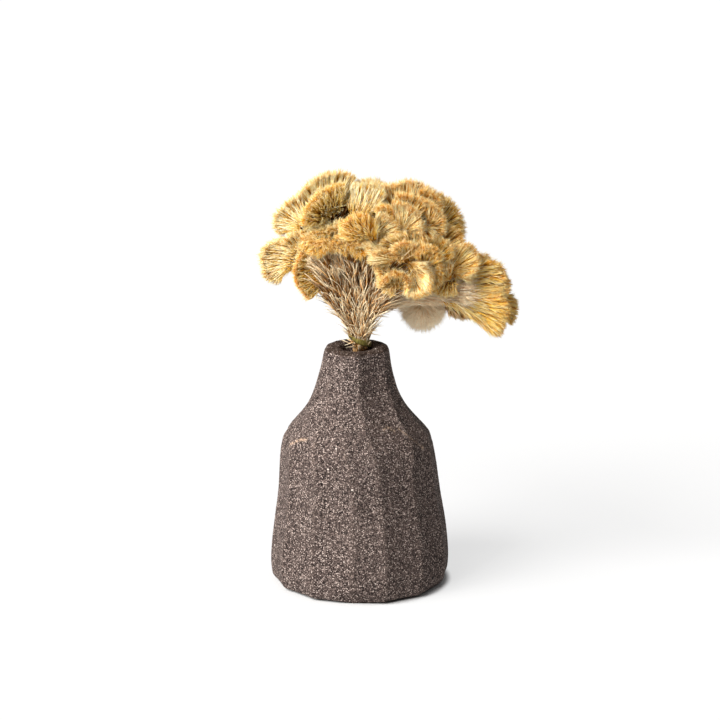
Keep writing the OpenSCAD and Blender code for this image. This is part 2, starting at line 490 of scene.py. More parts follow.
def strokes(marks, turn, height):
    """Each vertex's share of the marks: their strength on the line itself, fading to 0 at their width."""
    total = 0.0
    for points, radius, width, strength in marks:
        best = np.full(turn.shape, 1e9)
        for (a0, z0), (a1, z1) in zip(points[:-1], points[1:]):
            for s in np.linspace(0, 1, 12):
                across = np.radians((turn - (a0 + (a1 - a0) * s) + 180) % 360 - 180) * radius
                best = np.minimum(best, np.hypot(across, height - (z0 + (z1 - z0) * s)))
        total = total + strength * np.clip(1.0 - best / width, 0.0, 1.0)
    return total


def vase_rows():
    """Radius and height of each row of vertices, and which part of the vase it is on."""
    foot, wall = spaced(UNDERSIDE, 3.0)[:-1], spaced(WALL, 0.62)
    rim, hollow = spaced([WALL[-1]] + RIM, 0.6)[1:], spaced([RIM[-1]] + HOLLOW, 3.2)[1:]
    rows = np.vstack([foot, wall, rim, hollow])
    return rows, np.repeat([ON_FOOT, ON_WALL, ON_RIM, INSIDE], [len(foot), len(wall), len(rim), len(hollow)])


def facets(rows, part):
    """Radius over ridge radius for each row and direction, flat between soft ridges, round inside."""
    ratio = np.ones((len(rows), COLUMNS))
    for i, (r, z) in enumerate(rows):
        if part[i] == INSIDE:
            continue
        faceted = soften(facet_ratio(ridge_angles(z)), np.interp(z, [70, 95], [0.8, 1.4]))
        keep = np.clip((r - 8.0) / 6.5, 0, 1) if part[i] == ON_RIM else 1.0
        ratio[i] = 1.0 + (faceted - 1.0) * keep * 1.3
    return ratio


def vase_places(rows, part, ratio, T, Z, rng):
    """The hand-made surface: facets, slow waves, grainy clay, a leaning neck and a worn foot."""
    on_wall, on_rim = part == ON_WALL, part == ON_RIM
    waves = slow_waves(T, Z, rng)
    R = rows[:, :1] * ratio + (part < INSIDE) * waves * np.clip(Z / 12.0, 0.25, 1) * 0.22
    grain = rng.normal(0, 1, R.shape)
    R += on_wall * np.clip(Z / 2.0, 0, 1) * grain * 0.035
    Z = Z + on_rim * (grain * 0.03 + waves * 0.12)
    a = np.radians(T)
    lean = np.interp(Z, [0, 30, 50, 70, 90, 106, 120], [0, 0, -0.5, -1.4, -2.0, -2.0, -1.6])
    lean = lean * np.where(part == INSIDE, np.clip((Z - 60) / 50.0, 0, 1), 1.0)
    for toward, reach in FOOT_CUTS:
        limit = (reach + 0.6 * Z) / np.maximum(np.cos(a - math.radians(toward)), 0.3)
        R = np.where((part < ON_RIM) & (Z < 10), np.minimum(R, limit), R)
    return np.stack([R * np.sin(a) + lean, -R * np.cos(a), Z], -1), Z


def with_ends(grid, middles):
    """A grid of values as one list, with the values at the centres of its two end fans."""
    return np.append(np.clip(grid, 0, 1).ravel(), middles)


def make_vase():
    rows, part = vase_rows()
    ratio = facets(rows, part)
    part = part[:, None]
    T, Z = np.meshgrid(TURN, rows[:, 1])
    places, Z = vase_places(rows, part, ratio, T, Z, np.random.default_rng(11))
    places = np.vstack([places.reshape(-1, 3), [[0, 0, 0.0], [0, 0, rows[-1, 1]]]])
    on_wall = part == ON_WALL
    worn = np.clip((ratio - 0.986) / 0.014, 0, 1) * on_wall
    shoulder = np.exp(-((Z - 74.0) / 7.0) ** 2) * on_wall
    # Rust and painted shade: the stains at half strength, which also paint shade on the right of the neck,
    # and painted shade over the whole rim top, in the flower's shadow.
    rust_and_painted_shade = 0.5 * (strokes(RUST_STAINS_AND_PAINTED_SHADE, T, Z) * on_wall) + (part == ON_RIM) * 1.0
    run = run_along(rows)
    uv = np.stack([T / 360.0, np.repeat((run / run[-1])[:, None], COLUMNS, 1)], -1).reshape(-1, 2)
    skin = Geometry()
    skin.add(places, tube_triangles(len(rows), COLUMNS), np.vstack([uv, [[0.5, 0], [0.5, 1]]]),
             gold=with_ends(worn * (0.45 + shoulder), [0, 0]),
             pale=with_ends(strokes(SCRATCHES, T, Z) * on_wall, [0, 0]), run=with_ends(rust_and_painted_shade, [0, 0]))
    skin.build("vase_skin", ["stoneware"], "vase_body", body="vase")


# ---------------------------------------------------------------- bristles and crests

RING_AT = np.array([0.0, 0.4, 0.75])        # where a bristle's rings of three vertices stand
RING_WIDTH = np.array([1.0, 0.85, 0.55])    # their radius over the base radius
THIN = 0.155                                # radius (mm) of a crest's bristles
FACE_PER_MM2, EDGE_PER_MM, ROOT_PER_MM = 2.5, 30, 14
GRID = np.linspace(0, 1, 200)
# What a fan is like where it doesn't say otherwise, in millimetres, degrees and shares.
FAN = dict(face=9.0,            # length of the bristles on its faces
           edge=3.6,            # length of the brush along its edge
           spread=65,           # how far that brush turns over to each side
           lean=(2, 14),        # how far the bristles on its faces stand off
           ruffle=0.8,          # height of the waves along its edge
           waves=3.0,           # how many waves
           bulge=1.0,           # how far its middle bulges
           gold=0.9, pale=0.7, density=1.0)


def bristle_triangles():
    """Triangles of one bristle: rings of three vertices, a closed base and a point."""
    faces = [(2, 1, 0)]
    for ring in range(len(RING_AT) - 1):
        for side in range(3):
            a, b = 3 * ring + side, 3 * ring + (side + 1) % 3
            faces += [(a, b, b + 3), (a, b + 3, a + 3)]
    tip = 3 * len(RING_AT)
    faces += [(tip - 3 + side, tip - 3 + (side + 1) % 3, tip) for side in range(3)]
    return np.array(faces)


ONE_BRISTLE = bristle_triangles()


def add_bristles(into, start, direction, length, radius, bend, rng, **values):
    """Adds one tapering, slightly bent bristle for each row of start, direction, length, radius and bend."""
    n = len(start)
    direction = unit(direction)
    side = unit(np.cross(direction, rng.normal(0, 1, (n, 3))))
    other = np.cross(direction, side)
    rings = []
    for at, wide in zip(RING_AT, RING_WIDTH):
        centre = start + direction * (length * at)[:, None] + bend * (length * at ** 2)[:, None]
        for k in range(3):
            turn = 2 * math.pi * k / 3
            rings.append(centre + (side * math.cos(turn) + other * math.sin(turn))
                         * (radius * wide)[:, None])
    rings.append(start + direction * length[:, None] + bend * length[:, None])
    each = len(rings)
    places = np.stack(rings, 1).reshape(-1, 3)
    triangles = (ONE_BRISTLE[None] + np.arange(n)[:, None, None] * each).reshape(-1, 3)
    run = np.append(np.repeat(RING_AT, 3), 1.0)
    across = np.append(np.tile([0.12, 0.5, 0.88], len(RING_AT)), 0.5)
    cells = int(math.ceil(math.sqrt(n)))
    cell = np.stack([np.arange(n) % cells, np.arange(n) // cells], -1)[:, None, :]
    uv = (cell + np.stack([across, 0.1 + 0.8 * run], -1)[None]) / cells
    uv = uv.reshape(-1, 2) * [1.0, 0.88] + [0.0, 0.12]
    values.setdefault("chance", rng.random(n))
    spread = {k: np.repeat(np.broadcast_to(v, n), each) for k, v in values.items()}
    into.add(places, triangles, uv, run=np.tile(run, n), **spread)


def add_sheet(into, surface, thickness):
    """Adds the thin plate under a crest: surface is a grid of points, from root (row 0) to crest."""
    rows, columns = surface.shape[:2]
    normal = unit(np.cross(np.gradient(surface, axis=0), np.gradient(surface, axis=1)))
    lift = normal * thickness / 2 * np.linspace(1.0, 0.35, rows)[:, None, None]
    front, back = (surface + lift).reshape(-1, 3), (surface - lift).reshape(-1, 3)
    faces = grid_triangles(rows, columns)
    shift = rows * columns
    edge = np.concatenate([np.arange(columns - 1), columns - 1 + columns * np.arange(rows - 1),
                           shift - 1 - np.arange(columns - 1),
                           shift - columns - columns * np.arange(rows - 1)])
    after = np.roll(edge, -1)
    band = np.concatenate([np.stack([edge, after, after + shift], -1),
                           np.stack([edge, after + shift, edge + shift], -1)])
    triangles = np.concatenate([faces[:, ::-1], faces + shift, band])
    v, u = np.meshgrid(np.linspace(0, 1, rows), np.linspace(0, 1, columns), indexing="ij")
    uv = np.stack([u.ravel() * 0.48, 0.01 + v.ravel() * 0.09], -1)
    into.add(np.vstack([front, back]), triangles, np.vstack([uv, uv + [0.5, 0.0]]), slot=1,
             run=np.tile(v.ravel(), 2))


def uneven(u, waves, rng):
    """An uneven wave along u (0 to 1), about between -1 and 1."""
    return 0.6 * np.sin(2 * math.pi * waves * u + rng.uniform(0, 6.3)) \
        + 0.5 * np.sin(2 * math.pi * waves * 1.63 * u + rng.uniform(0, 6.3))


def fan_surface(root, top, ruffle, waves, bulge, rng, columns=72, rows=10):
    """A ruled sheet from the root curve to the top curve, bulging in the middle, ruffled at the top."""
    inner, outer = smooth_curve(root, columns), smooth_curve(top, columns)
    v = np.linspace(0, 1, rows)[:, None, None]
    surface = inner[None] * (1 - v) + outer[None] * v
    normal = unit(np.cross(outer - inner, np.gradient(outer, axis=0)))
    swing = uneven(np.linspace(0, 1, columns), waves, rng)[:, None] * normal * ruffle
    return surface + v ** 2 * swing[None] + np.sin(math.pi * v) * (normal * bulge)[None]


def sample(surface, u, v):
    """Point, outward direction, along direction and normal of the sheet at grid fractions u and v."""
    rows, columns = surface.shape[:2]
    x, y = u * (columns - 1), v * (rows - 1)
    i, j = np.minimum(x.astype(int), columns - 2), np.minimum(y.astype(int), rows - 2)
    fx, fy = (x - i)[:, None], (y - j)[:, None]
    a, b = surface[j, i], surface[j, i + 1]
    c, d = surface[j + 1, i], surface[j + 1, i + 1]
    point = a * (1 - fx) * (1 - fy) + b * fx * (1 - fy) + c * (1 - fx) * fy + d * fx * fy
    outward = unit((c - a) * (1 - fx) + (d - b) * fx)
    along = unit((b - a) * (1 - fy) + (d - c) * fy)
    return point, outward, along, unit(np.cross(outward, along))


def cover_faces(into, rng, f):
    """Bristles that lie out along both faces of a fan, as one combed coat."""
    n = int(f.long * f.deep * FACE_PER_MM2 * f.density)
    u, v = rng.random(n), rng.uniform(0.02, 1.0, n) ** 0.75
    point, outward, along, normal = sample(f.surface, u, v)
    side = np.where(rng.random(n) < 0.5, -1.0, 1.0)[:, None]
    rise = rng.random(n)
    tilt = np.radians(f.lean[0] + (f.lean[1] - f.lean[0]) * rise + 5 * v + 8 * (1 - v) ** 2)[:, None]
    direction = outward * np.cos(tilt) + normal * side * np.sin(tilt) \
        + along * (rng.normal(0, 0.07, n) + np.interp(u, GRID, f.combing))[:, None]
    length = np.minimum(f.face * rng.uniform(0.6, 1.15, n),
                        (1 - v) * f.deep + f.edge * rng.uniform(0.4, 1.1, n))
    bend = -normal * side * rng.uniform(0.0, 0.2, (n, 1)) + rng.normal(0, 0.04, (n, 3))
    near_edge = np.clip((v - 0.7) / 0.3, 0, 1)
    # The strands lying lowest in the coat get the lowest value, which the material darkens: painted shade
    # between the strands, with a random share.
    add_bristles(into, point + normal * side * 0.3, direction, length,
                 rng.uniform(0.7, 1.25, n) * THIN, bend, rng,
                 gold=f.gold * (0.1 + 0.9 * near_edge) * np.interp(u, GRID, f.patches),
                 pale=f.pale * (1 - 0.8 * near_edge), chance=0.7 * rise + 0.3 * rng.random(n))


def brush_edge(into, rng, f):
    """The dense brush along a fan's edge, turned over to both sides."""
    n = int(f.long * EDGE_PER_MM * f.density)
    u, v = rng.random(n), rng.uniform(0.93, 1.0, n)
    point, outward, along, normal = sample(f.surface, u, v)
    turn_over = np.radians(rng.uniform(-f.spread, f.spread, n))[:, None]
    direction = outward * np.cos(turn_over) + normal * np.sin(turn_over) \
        + along * (rng.normal(0, 0.13, n) + np.interp(u, GRID, f.combing))[:, None]
    over = np.abs(turn_over[:, 0]) / math.radians(f.spread)
    length = f.edge * rng.uniform(0.5, 1.3, n) * (1.0 - 0.2 * over)
    add_bristles(into, point, direction, length, rng.uniform(0.6, 1.1, n) * THIN * 0.85,
                 rng.normal(0, 0.08, (n, 3)), rng,
                 gold=f.gold * (1.0 - 0.35 * over * rng.random(n))
                 * np.interp(u, GRID, 0.3 + 0.7 * f.patches), pale=f.pale * 0.4 * over)


def fringe_root(into, rng, f):
    """Loose bristles that hide where a fan grows out of its neighbours."""
    n = int((f.long * 0.35 + 6) * ROOT_PER_MM * f.density)
    point, outward, along, normal = sample(f.surface, rng.random(n), rng.uniform(0.0, 0.35, n))
    direction = outward * 0.8 + normal * rng.normal(0, 0.6, (n, 1)) + along * rng.normal(0, 0.4, (n, 1))
    add_bristles(into, point, direction, f.face * rng.uniform(0.4, 0.8, n),
                 rng.uniform(0.7, 1.2, n) * THIN, rng.normal(0, 0.1, (n, 3)), rng,
                 gold=f.gold * 0.35 * rng.random(n), pale=f.pale * 0.3)


def add_fan(into, rng, root, top, **values):
    """One fan of the flower, from points of its root and of its edge: a thin sheet and its three coats of
    bristles. values are those of FAN that differ."""
    f = SimpleNamespace(**{**FAN, **values})
    f.surface = fan_surface(root, top, f.ruffle, f.waves, f.bulge, rng)
    add_sheet(into, f.surface, 0.9)
    f.long = np.linalg.norm(np.diff(f.surface[-1], axis=0), axis=1).sum()
    f.deep = np.linalg.norm(np.diff(f.surface, axis=0), axis=2).sum(0).mean()
    f.patches = np.clip(0.62 + 0.6 * uneven(GRID, f.long / 12.0, rng), 0.15, 1.0)
    f.combing = 0.16 * uneven(GRID, f.long / 3.6, rng)
    cover_faces(into, rng, f)
    brush_edge(into, rng, f)
    fringe_root(into, rng, f)


def add_pompom(into, rng, centre, radii, count, length):
    """A round tuft: fine bristles that radiate from a small core, mostly downwards."""
    aim_at = unit(rng.normal(0, 1, (count * 3, 3)))
    aim_at = aim_at[aim_at[:, 2] < 0.3][:count]
    n = len(aim_at)
    start = np.array(centre) + aim_at * radii * rng.uniform(0.15, 0.55, (n, 1))
    reach = np.linalg.norm(aim_at * radii, axis=1) * rng.uniform(0.9, 1.04, n)
    place = np.linalg.norm(start - centre, axis=1)
    add_bristles(into, start, aim_at * radii, np.minimum(np.maximum(reach - place, 1.5), length),
                 rng.uniform(0.75, 1.2, n) * 0.15, rng.normal(0, 0.06, (n, 3)) - UP * 0.08, rng,
                 pale=rng.random(n))


def add_broom(into, rng, path, radii, count, length, splay, thick, gold=0.0, pale=1.0, flow=1.0,
              unruly=0.08):
    """Long bristles that stream along a path, rooted on a tube whose radius runs through radii."""
    spine = smooth_curve(path, 40)
    tangent = unit(np.gradient(spine, axis=0))
    at = rng.uniform(0, 1, count) ** flow
    index = np.minimum((at * 39).astype(int), 38)
    forward = tangent[index]
    centre = spine[index] + (spine[index + 1] - spine[index]) * (at * 39 - index)[:, None]
    width = np.interp(at, np.linspace(0, 1, len(radii)), radii)
    side = unit(np.cross(forward, rng.normal(0, 1, (count, 3))))
    tilt = np.radians(rng.uniform(*splay, count))[:, None]
    start = centre + side * (width * np.sqrt(rng.uniform(0.35, 1, count)))[:, None]
    direction = forward * np.cos(tilt) + side * np.sin(tilt) + rng.normal(0, unruly, (count, 3))
    add_bristles(into, start, direction, length * rng.uniform(0.6, 1.2, count),
                 rng.uniform(0.6, 1.3, count) * thick, rng.normal(0, unruly * 1.5, (count, 3)), rng,
                 gold=gold, pale=pale * rng.random(count))


def add_tube(into, path, radii, sides=18, steps=60, grooves=5, depth=0.12):
    """A closed woody tube along a path, lightly grooved lengthwise."""
    spine = smooth_curve(path, steps)
    tangent = unit(np.gradient(spine, axis=0))
    side = unit(np.cross(tangent, np.array([0.31, 0.95, 0.05])))
    other = np.cross(tangent, side)
    at = np.linspace(0, 1, steps)
    width = np.interp(at, np.linspace(0, 1, len(radii)), radii)
    turn = np.arange(sides) * 2 * math.pi / sides
    wave = 1 + depth * np.sin(turn[None] * grooves + 5 * at[:, None]) \
        + 0.05 * np.sin(at[:, None] * 60 + turn[None])
    ring = side[:, None] * np.cos(turn)[None, :, None] + other[:, None] * np.sin(turn)[None, :, None]
    places = (spine[:, None] + ring * (width[:, None] * wave)[..., None]).reshape(-1, 3)
    uv = np.stack([np.tile(turn / 6.2832, steps) * 0.98, np.repeat(at, sides) * 0.11], -1)
    into.add(np.vstack([places, spine[0], spine[-1]]), tube_triangles(steps, sides),
             np.vstack([uv, [[0.5, 0], [0.5, 0.11]]]), slot=1, run=np.append(np.repeat(at, sides), [0, 1]))


# ---------------------------------------------------------------- the head

def middle(node):
    """Centre of a CAD node's box, in millimetres."""
    low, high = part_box(node)
    return (np.array(low) + np.array(high)) / 2 / MM


def around(node, points):
    """Points given as offsets in millimetres from the centre of a node's box."""
    return [tuple(middle(node) + np.array(p, float)) for p in points]


def fan(root, top, **values):
    """One fan of a crest: points of its root and of its edge as offsets from the centre of the crest's
    node, and the values of FAN that differ."""
    return root, top, values


def crest(node, seed, fans, kind="golden"):
    """Builds one named part of the head from its fans."""
    rng = np.random.default_rng(seed)
    into = Geometry()
    for root, top, values in fans:
        add_fan(into, rng, around(node, root), around(node, top), **values)
    into.build(node + "_bristles", [kind, "flesh"], node)


def make_left_side():
    """The two pale fans at the left edge and the hanging curl."""
    crest("left_lower_fan", 21, [
        fan([(3, -4, -4), (5, -4, 0), (6, -3, 4), (7, -2, 7)],
            [(-3, -1, -8.5), (-7, -2, -9), (-10, -2, -6), (-10.5, -2, -3), (-11.5, -2, 1), (-10.5, -2, 5),
             (-8.5, -2, 7.5), (-5, -2, 9.5), (0, -1, 10.5)], spread=60, pale=0.9, ruffle=0.7),
        fan([(8, 5, -3), (8, 6, 3)], [(-5, 7, -7), (-8, 8, 0), (-5, 7, 8)], face=6.5, gold=0.7),
        fan([(7, -2, 2), (12, -2, 4)],
            [(-2, -3, 9), (3, -4, 12.5), (9, -4, 14.5), (15, -3, 14)], gold=0.6, pale=0.6)])
    crest("left_upper_fan", 22, [
        fan([(3, -8, -5), (4, -7, -3), (6, -6, 0)],
            [(-4, -4, -6), (-8, -4, -4.5), (-9, -4, -0.5), (-7.5, -4, 3), (-4, -4, 6.5), (-1, -3, 8.5),
             (3, -2, 10.5)], spread=60, pale=1.0, ruffle=0.6, gold=0.75, density=1.1),
        fan([(5, 4, -4), (7, 5, 1)], [(-6, 6, -5), (-5, 7, 1), (-1, 7, 7)], face=6.5, gold=0.7),
        fan([(10, 3, -6), (14, 4, -2)],
            [(0, 6, -7), (1, 6, 0), (6, 7, 5), (13, 8, 6)], face=8.0, gold=0.7, pale=0.4)])
    crest("left_curl", 23, [
        fan([(1, 1, 8), (3, 1, 0), (2, 1, -7)],
            [(-6.5, -4, 12), (-9, -4.5, 8), (-10.3, -4.5, 4), (-10, -4.5, 0), (-8.3, -4.5, -4),
             (-5.6, -4, -7.8), (-2.5, -4, -10.5)],
            face=7.0, edge=2.2, spread=85, gold=1.0, pale=0.2, lean=(6, 34), ruffle=0.4, waves=2.0,
            bulge=-1.5, density=1.2),
        fan([(2, 4, 5), (6, 4, 6)],
            [(-8, -2, 14), (-3, -4, 16), (4, -6, 15)], face=7.0, edge=3.5, spread=80, gold=0.6, pale=0.1)],
          kind="amber")


def make_crown():
    """The funnel at the upper left, the pale fan at the top and the nested fans at the top right."""
    crest("crown_funnel", 31, [
        fan([(-4, 4, -8), (2, 6, -5), (8, 6, -4)],
            [(-12, 5.5, -0.5), (-6.5, 5.5, 6), (0, 5.5, 10.8), (9, 5.5, 12.4), (15.5, 5.5, 9.8)],
            spread=60, pale=0.8, waves=4.0, density=1.1),
        fan([(0, 5, -10), (3, 7, -8), (7, 6, -6)],
            [(-8.4, -5.5, -10), (-8.6, -5.5, -7.5), (-6, -5.5, -1.4), (-2.4, -3.5, 3.4), (2.6, -2.5, 6.8),
             (8, -1.5, 8.2), (11, -0.5, 8.8)],
            edge=3.0, spread=100, gold=1.0, pale=0.1, bulge=-2.0, lean=(12, 36), density=1.1),
        fan([(-4, 3, -15), (2, 3, -16), (8, 2, -15)],
            [(-10, -10, -13.5), (-4.9, -10.5, -13), (0.5, -11, -12.5), (5.8, -11, -11),
             (10.2, -10.5, -6.5)], edge=2.6, spread=90, gold=1.0, pale=0.6, density=1.15),
        fan([(-6, 8, -4), (6, 8, -3)],
            [(-10, 12, -1), (-3, 13, 6), (5, 13, 8), (11, 12, 5)], gold=0.8, pale=0.8)])
    crest("crown_centre_fan", 32, [
        fan([(-8.5, -8.5, -6), (-4, -9, -7), (1, -9, -7)],
            [(-7, -2.5, 6), (-2, -2.5, 6.2), (3, -2.5, 6.2), (6.5, -3.5, 4), (8, -5, 1)],
            spread=60, gold=0.35, pale=1.0, density=1.15, bulge=0.5),
        fan([(-2, 4, -4), (4, 4, -4)], [(-7, 5, 5), (0, 6, 6), (8, 5, 4)]),
        fan([(-14, 3, -5), (-8, 3, -6)],
            [(-16, 3, 3), (-12, 3.5, 5.5), (-8, 3.5, 6), (-5, 3, 4)], edge=3.0, gold=0.7)])
    crest("crown_right_fan", 33, [
        fan([(-8, 3, -1), (-2, 3, -1), (4, 3, -3)],
            [(-14, 5, 11.4), (-9, 5.5, 11.2), (-3, 6, 13.2), (3, 6, 12.4), (7.8, 5.5, 10), (11.4, 5, 7.4)],
            edge=3.4, spread=75, gold=1.0, waves=4.0),
        fan([(-6, -3, -2), (2, -3, -3)],
            [(-8, -4, 9.5), (-4, -4.5, 9), (0.5, -4.5, 8.5), (5.7, -4.5, 6.6), (9.6, -4.5, 4.4)],
            edge=3.0, spread=90, gold=1.0, pale=0.5),
        fan([(-6, -9.5, -7), (-5, -9.5, -9)],
            [(-9.5, -13, 8), (-4, -14, 7), (0.5, -14.5, 4.5), (3, -14.5, 1), (4.5, -14, -3.5),
             (4, -12.5, -7)], edge=2.8, spread=80, gold=1.0, pale=0.9, density=1.2),
        fan([(8, -3, -5), (7, -3, -8)],
            [(6, -5, 6.5), (11, -5.5, 4), (14, -6, 0.5), (15.2, -6, -3.5), (15, -6, -7.5),
             (12.5, -5.5, -10.5)], edge=2.8, spread=75, gold=0.6, pale=0.8, density=1.1),
        fan([(-12, -8, -8), (-9, -8, -8)],
            [(-17, -9, 2), (-14, -10, 5), (-10, -10, 4), (-8, -9, 0)],
            edge=3.0, spread=75, gold=1.0, pale=0.1),
        fan([(0, -6, -4), (5, -6, -4)],
            [(-4, -12, -9.5), (1, -12.5, -10.5), (7, -12, -10.5), (12, -10, -9)],
            edge=3.0, spread=60, gold=0.6, pale=0.5),
        fan([(4, 2, 2), (8, 2, 0)], [(4, 1, 10), (8, 1, 9.5), (12, 1, 7), (14, 1, 3)], edge=3.0, pale=0.5),
        fan([(-2, 8, -4), (6, 8, -5)],
            [(-8, 12, 7), (0, 13, 8), (9, 12, 4), (14, 9, -2)], gold=0.8, pale=0.6)], kind="amber")


def make_right_side():
    """The right shoulder's folds, the far right fan and the sliver under it."""
    crest("right_shoulder_fold", 41, [
        fan([(-8, 5, 8), (-8, 4, 2)],
            [(-6, 5.5, 23), (-1, 5.5, 19.5), (3, 5.5, 14), (5, 5.5, 8.5), (5.2, 5, 3)],
            edge=3.4, spread=70, gold=0.45, pale=0.1),
        fan([(-8, -4, -1), (-6, -4, -6)],
            [(-2.6, -5, 9.5), (1.5, -5, 8), (4.6, -5, 4.5), (5.2, -5, 0.5), (3, -5, -3.3),
             (-0.6, -5, -6.8)], edge=3.0, gold=0.95, pale=0.3, density=1.1),
        fan([(-1.6, -7, -11), (0.5, -7, -13)],
            [(0.8, -9, -2), (4.7, -9, 1), (8.8, -9, 1), (11.6, -9, -2.4), (12.8, -9, -7), (10.5, -9, -12),
             (6, -9, -14.5)], face=10.0, edge=3.0, gold=1.0, pale=0.5, density=1.2),
        fan([(0.8, -11, -15), (-1, -11, -16.5)],
            [(-8.6, -14, -15.6), (-9, -14.5, -11.6), (-6.6, -15, -8.4), (-3.2, -15, -7), (0.2, -14.5, -8)],
            edge=3.0, gold=0.6, pale=0.9, density=1.1),
        fan([(-9, -8, -6), (-8, -8, -10)],
            [(-8, -12, 4), (-4, -12, 4), (0, -12, 1), (0, -12, -4)],
            edge=3.0, spread=75, gold=0.5, pale=0.1),
        fan([(-4, -8, -16), (2, -8, -16)],
            [(-8, -13, -19), (-3, -13, -21), (3, -12, -20)],
            face=7.0, edge=3.0, spread=60, gold=0.2, pale=0.2)], kind="amber")
    crest("right_fan", 42, [
        fan([(-15, -1, 4), (-13, 0, 6)],
            [(-3, -1, 14), (0.5, -2, 17), (4, -2, 17.5), (7, -1.5, 15)],
            edge=3.4, spread=55, gold=0.35, pale=0.1, waves=2.0, ruffle=1.4, lean=(4, 26)),
        fan([(-15, -1, 4), (-13, 0, 6)],
            [(5, -4, 15.5), (9.5, -5, 15), (12.5, -5, 12), (14, -4.5, 8.5), (13, -3, 5)],
            edge=3.2, spread=55, gold=0.8, pale=0.1, waves=2.0, ruffle=1.4, lean=(4, 26)),
        fan([(-17, -3, 1), (-16, -2, 3)],
            [(13, -2.5, 8), (15.5, -3, 5.5), (16, -3, 2.5), (14.6, -3, -0.5), (12, -2, -2)],
            face=10.0, edge=3.0, spread=50, gold=0.7, pale=0.1, waves=2.0, ruffle=1.4, lean=(4, 26)),
        fan([(-17, -5.5, -2), (-16, -5, 0)],
            [(11, -7, -1.5), (14, -7.5, -3), (15.6, -7.5, -6), (15.2, -7.5, -10.5), (13.6, -7.5, -15),
             (12.4, -7.5, -18.5), (10.6, -7, -20), (8.6, -6.5, -17)],
            face=10.0, edge=2.8, spread=50, gold=1.0, pale=0.1, ruffle=1.6, lean=(4, 24)),
        fan([(-17, -6, -3), (-14, -6, -3)],
            [(9, -6, -15), (4, -5, -13), (-2, -4, -10)],
            face=10.0, edge=2.0, spread=35, gold=0.3, pale=0.2),
        fan([(-17, -5, 0), (-16, -4, 2)],
            [(12, -4, 3), (12.5, -5, -1), (11, -6, -4)],
            face=10.0, edge=3.0, spread=40, gold=0.5, pale=0.2),
        fan([(4, 6, -4), (4, 7, -8)],
            [(17, 5, -3), (19.4, 5, -6), (20.2, 5, -10), (19.4, 5, -15), (17.6, 5, -18)],
            edge=2.4, gold=0.0, pale=0.0)], kind="amber")
    crest("right_tag", 43, [
        fan([(-8, 0, 2), (-1, 0, 2)],
            [(-6, -1, -2), (0, -2, -4), (6, -2, -3.5), (10, -2, -1.5)],
            face=6.0, edge=2.6, spread=50, gold=0.3, pale=0.1, ruffle=0.4)],
          kind="tan")


